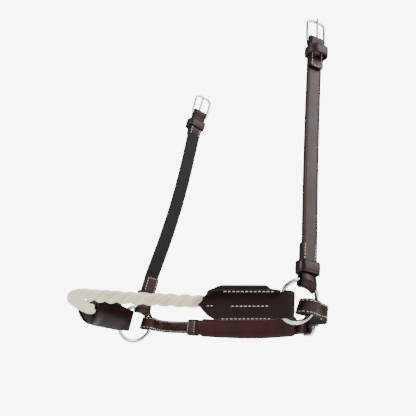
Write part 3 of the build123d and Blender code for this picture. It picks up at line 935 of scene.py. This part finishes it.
def by_bar(t, n):
    """A point t past the chin buckle's bar along the strap and n behind it."""
    angle = asin(BUCKLE_X / BOW_R)
    return on_bow(BUCKLE_X) + Vector((cos(angle), -sin(angle), 0)) * t + Vector((sin(angle), cos(angle), 0)) * n


def ring_loop(s):
    """Middle line of the fold round a ring: in along the inner layer and back along the outer one."""
    half = CHIN_LAYER / 2
    room = CHIN_ROOM + half
    front = LOOP_FRONT[s] + CHIN_LAYER + CHIN_ROOM
    x = s * HALF_CHIN
    inner = [Vector((x - s * (half + 0.05), CHIN_NECK - 0.5, 0)), Vector((x - s * (half + 1.4), CHIN_NECK - 5.5, 0)),
             Vector((x - s * room * 0.9, WIRES[s][1] - 2, 0))]
    around = arc((x, front), room, 180 if s > 0 else 0, 360 if s > 0 else -180, 26)
    outer = [Vector((x + s * room * 0.9, WIRES[s][1] - 2, 0)), Vector((x + s * (half + 1.4), CHIN_NECK - 5.5, 0)),
             Vector((x + s * (half + 0.05), CHIN_NECK - 0.5, 0))]
    return inner + around + outer


def corner(s, off):
    """The turn from behind the ring onto the bow, off outside the middle line."""
    x = s * (HALF_CHIN - CHIN_CORNER)
    end = 90 - CHIN_BOW_DEGREES
    points = arc((x if s > 0 else -x, CHIN_NECK), CHIN_CORNER + off, 8, end, 10)
    return points if s > 0 else [Vector((-p.x, p.y, 0)) for p in points]


def ring_tip(s):
    """Tips the folds over with the rings, and lifts them to the height at which they hang in the rings."""
    def warp(p):
        near = step((CHIN_NECK + 4 - p.y) / 14.0) if p.x * s > HALF_CHIN - 20 else 0.0
        lift = step((49 - p.y) / 15.0) * (LOOP_RISE[s] * LOOP_LIFT) if p.x * s > HALF_CHIN - 35 else 0.0
        return Vector((p.x + p.z * FOLD_TIP * near, p.y, p.z + lift))
    return warp


class Track:
    """A path measured by length, to place stitches along a swept strip's middle line."""

    def __init__(self, path):
        self.path = path
        self.runs = [0.0]
        for a, b in zip(path, path[1:]):
            self.runs.append(self.runs[-1] + (b - a).length)

    def at(self, run):
        """The point at this length, and the direction to its left."""
        i = 0
        while i < len(self.path) - 2 and self.runs[i + 1] < run:
            i += 1
        a, b = self.path[i], self.path[i + 1]
        tangent = (b - a).normalized()
        t = (run - self.runs[i]) / (self.runs[i + 1] - self.runs[i])
        return a + (b - a) * t, Vector((-tangent.y, tangent.x, 0))

    def near(self, point, first=0.0):
        """The length at which the path comes nearest to point, after first."""
        best = min((i for i, r in enumerate(self.runs) if r >= first), key=lambda i: (self.path[i] - point).length)
        return self.runs[best]


def chin_surface(track, warp, off):
    """The strip's surface, off from its middle line, for stitch_line."""
    def surface(run, height):
        p, normal = track.at(run)
        q = p + normal * off
        here = chin_plane(warp(Vector((q.x, q.y, height))))
        base = chin_plane(warp(Vector((p.x, p.y, height))))
        return here, (here - base).normalized()
    return surface


def strip_taper(total, first, last):
    """A taper that rounds a strip's first and last millimetres."""
    def taper(t, run):
        start = 0.55 + 0.45 * sqrt(min(1.0, run / first))
        end = 0.30 + 0.70 * sqrt(min(1.0, (1 - t) * total / last))
        return min(1.0, start, end)
    return taper


def make_chin():
    """The chin strap, which turns round the right ring and the bar, the billet, and their stitches."""
    half = CHIN_LAYER / 2
    tilt = 90 - 180 * asin(BUCKLE_X / BOW_R) / pi
    around_bar = arc(by_bar(0, 0), BAR_R + 0.35 + half, tilt, tilt - 180, 14)
    bow_in = [on_bow(x, -half) for x in (-62, -75, -90)]
    bow_out = [on_bow(x, half) for x in (-90, -75, -50, -25, 0, 25, 50, 66)]
    tail = [by_bar(-7, -half), on_bow(56, -half), on_bow(44, -half)]
    path = bow_in + corner(RIGHT, -half)[::-1] + ring_loop(RIGHT) + corner(RIGHT, half) + bow_out + around_bar + tail
    path = even(smooth_path(path, 6), 0.9)
    warp = ring_tip(RIGHT)
    bm = new_bmesh()
    strap(bm, chin_plane, path, CHIN_W / 2, CHIN_LAYER, warp=warp, taper=strip_taper(400, 1.5, 1.5))
    finish_piece("chin_strap_leather", bm, STRAP_LEATHER, "chin", ["chin_strap"])

    lie = 1.5 * CHIN_LAYER + 0.3
    over = BAR_R + 0.3 + 1.5 * CHIN_LAYER + 0.3
    under = BAR_R + half + 0.3
    billet = [on_bow(x, lie) for x in (30, 38, 46, 54, 61)]
    billet += [by_bar(-9, lie), by_bar(-4, over), by_bar(2.5, over - 0.3), by_bar(7, 1.2), by_bar(12, -under)]
    billet += [by_bar(17, -under)]
    left = billet + corner(LEFT, half)[::-1][2:] + ring_loop(LEFT)[::-1] + corner(LEFT, -half)
    left = even(smooth_path(left, 6), 0.9)
    left_warp = ring_tip(LEFT)
    bm = new_bmesh()
    strap(bm, chin_plane, left, CHIN_W / 2, CHIN_LAYER, warp=left_warp, taper=strip_taper(230, 9.0, 1.5))
    finish_piece("chin_billet_leather", bm, STRAP_LEATHER, "chin", ["chin_billet"])

    rng = random.Random(41)
    bm = new_bmesh()
    track = Track(path)
    surface = chin_surface(track, warp, half)
    first, last = track.near(on_bow(-70, -half)), track.near(on_bow(66, half))
    for height in (-4.5, 4.5):
        stitch_line(bm, surface, (first, height), (last, height), 3.1, 0.33, rng, 0.62)
    track = Track(left)
    surface = chin_surface(track, left_warp, half)
    first = track.near(corner(LEFT, half)[-1])
    for height in (-4.5, 4.5):
        stitch_line(bm, surface, (2.5, height * 0.9), (26, height), 3.1, 0.33, rng, 0.62)
        stitch_line(bm, surface, (first, height), (track.runs[-1] - 1.5, height), 3.1, 0.33, rng, 0.62)
    finish_piece("chin_thread", bm, THREAD, "chin")


def make_chin_keeper():
    """The keeper that holds down the turned end at the chin strap's right."""
    middle = on_bow(CHIN_KEEPER_X)
    angle = asin(CHIN_KEEPER_X / BOW_R)
    normal, along = Vector((sin(angle), cos(angle), 0)), Vector((cos(angle), -sin(angle), 0))

    def plane(p):
        at = middle + normal * p.x + along * (p.z - 2.6)
        return chin_plane(Vector((at.x, at.y, p.y)))

    out_by = CHIN_LAYER + 0.95
    make_keeper("chin_band", plane, -out_by, out_by, CHIN_W / 2 + 1.3, 11.6, 1.8, "chin", ["chin_keeper"], 1.8, 1.8)
    rng = random.Random(43)
    bm = new_bmesh()

    def face(sign):
        def surface(u, v):
            here = plane(Vector((sign * (out_by + 0.95), u, v)))
            return here, (here - plane(Vector((0, u, v)))).normalized()
        return surface

    for sign in (1, -1):
        for v in (1.7, 9.9):
            stitch_line(bm, face(sign), (-5.6, v), (5.6, v), 2.3, 0.30, rng, 0.6)
    finish_piece("chin_band_thread", bm, THREAD, "chin")


PAD_MIDDLE = -1.5
PAD_HALF = 70.5
PAD_W = 18.0
PAD_T = 4.5


def make_pad():
    """A stuffed leather pad in front of the strap: crowned, creased by wear, its end tucked under a tab."""
    bm = new_bmesh()
    rings, lengths = [], []
    stations = [-PAD_HALF + 0.25 * k * k / 4 for k in range(10)]
    stations += [-PAD_HALF + 6 + 1.0 * k for k in range(1, 129)]
    stations += [PAD_HALF - 0.25 * k * k / 4 for k in reversed(range(10))]
    count = 72
    for x in stations:
        reach = min(1.0, (PAD_HALF - abs(x)) / 6.0)
        round_off = sqrt(max(0.0, 1 - (1 - reach) ** 2))
        half = PAD_W / 2 - 6 * (1 - round_off)
        narrow = step((x + PAD_HALF - 8) / 2.0) if x < 0 else 1.0
        half -= 1.5 * (1 - narrow)
        half += 0.35 * sin(x / 17.0) * sin(pi * (x + PAD_HALF) / (2 * PAD_HALF))
        thick = PAD_T * (0.45 + 0.55 * round_off) + 0.9 * cos(pi * x / (2 * PAD_HALF)) - 0.3
        ring = []
        for k in range(count):
            a = 2 * pi * k / count
            z = half * (abs(cos(a)) ** 0.72) * (1 if cos(a) > 0 else -1)
            v = z / half
            if sin(a) >= 0:
                rise = (1 - abs(v) ** 3.2) ** 0.55
                crease = 0.22 * max(0.0, 1 - abs(abs(v) - 0.52 - 0.03 * sin(x / 11.0)) / 0.07)
                crease += 0.16 * max(0.0, 1 - abs(v - 0.12 - 0.05 * sin(x / 19.0)) / 0.06)
                y = -CHIN_LAYER - 0.15 - 1.3 - (thick - 1.3) * rise + crease * min(1.0, (PAD_HALF - abs(x)) / 14)
            else:
                y = -CHIN_LAYER - 0.15 - 1.3 * (1 - abs(sin(a)) ** 0.3)
            base = on_bow(x + PAD_MIDDLE, y)
            ring.append(chin_plane(Vector((base.x, base.y, z))))
        rings.append(ring)
        lengths.append(x / 10)
    tones = [0.0 if 0 <= sin(2 * pi * k / count) or k == 0 else 1.0 for k in range(count)]
    loft(bm, rings, tones, length_uv=lengths)
    piece = finish_piece("chin_pad_leather", bm, PAD_LEATHER, "chin", ["chin_pad"])


make_chin()
make_chin_keeper()
make_pad()

# ------------------------------------------------------------------ metal kept from the CAD
for node, thing in frame["nodes"].items():
    if node.endswith(("_ring", "_frame", "_tongue")):
        thing.data.materials.clear()
        thing.data.materials.append(STEEL)
        thing.data.shade_smooth()


# ------------------------------------------------------------------ studio
FLOOR_HALF = 3.0
FLOOR_Z = -0.16
FLOOR_COLOUR = (0.78, 0.78, 0.78)
FLOOR_GLOW = 0.60


def make_floor():
    """A pale floor, in metres, that glows a little so that it stays pale away from the lamps."""
    material, tree, shader = node_material("floor_finish")
    noise = add(tree, "ShaderNodeTexNoise", Scale=8.0)
    tint = ramp(tree, noise.outputs["Fac"], [(0.3, tuple(c * 0.985 for c in FLOOR_COLOUR)), (0.7, FLOOR_COLOUR)])
    tree.links.new(tint, shader.inputs["Base Color"])
    shader.inputs["Roughness"].default_value = 0.9
    tree.links.new(tint, shader.inputs["Emission Color"])
    shader.inputs["Emission Strength"].default_value = FLOOR_GLOW
    bm = bmesh.new()
    bmesh.ops.create_grid(bm, x_segments=8, y_segments=8, size=FLOOR_HALF)
    mesh = bpy.data.meshes.new("floor")
    bm.to_mesh(mesh)
    bm.free()
    mesh.materials.append(material)
    plane = bpy.data.objects.new("floor", mesh)
    plane.location = (0, 0.1, FLOOR_Z)
    bpy.context.scene.collection.objects.link(plane)
    plane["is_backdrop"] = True


def softbox(name, direction, distance, size, power):
    """A rectangular lamp, in metres and watts, in this direction from the middle of the part."""
    data = bpy.data.lights.new(name, "AREA")
    data.shape = "RECTANGLE"
    data.size, data.size_y = size
    data.energy = power
    lamp = bpy.data.objects.new(name, data)
    target = Vector((0.0, 0.08, 0.08))
    way = Vector(direction).normalized()
    lamp.location = target + way * distance
    lamp.rotation_euler = (-way).to_track_quat("-Z", "Y").to_euler()
    bpy.context.scene.collection.objects.link(lamp)


def make_world():
    """White to the camera, dimmer to the leather's reflections."""
    world = bpy.data.worlds.new("studio")
    world.use_nodes = True
    tree = world.node_tree
    back = tree.nodes["Background"]
    path = tree.nodes.new("ShaderNodeLightPath")
    colour = mix(tree, path.outputs["Is Camera Ray"], (0.14, 0.14, 0.15), (8.0, 8.0, 8.0))
    tree.links.new(colour, back.inputs["Color"])
    bpy.context.scene.world = world


make_floor()
softbox("key", (0.80, 0.42, 0.50), 1.3, (0.9, 0.9), 22.0)
softbox("front", (-0.35, -1.0, 0.55), 1.4, (1.0, 0.7), 26.0)
softbox("top", (0.1, 0.1, 1.0), 1.3, (1.2, 1.2), 14.0)
make_world()

boxes = {"cad": cad_box, "visual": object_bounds()}
{name: [list(corner_at) for corner_at in box] for name, box in boxes.items()}
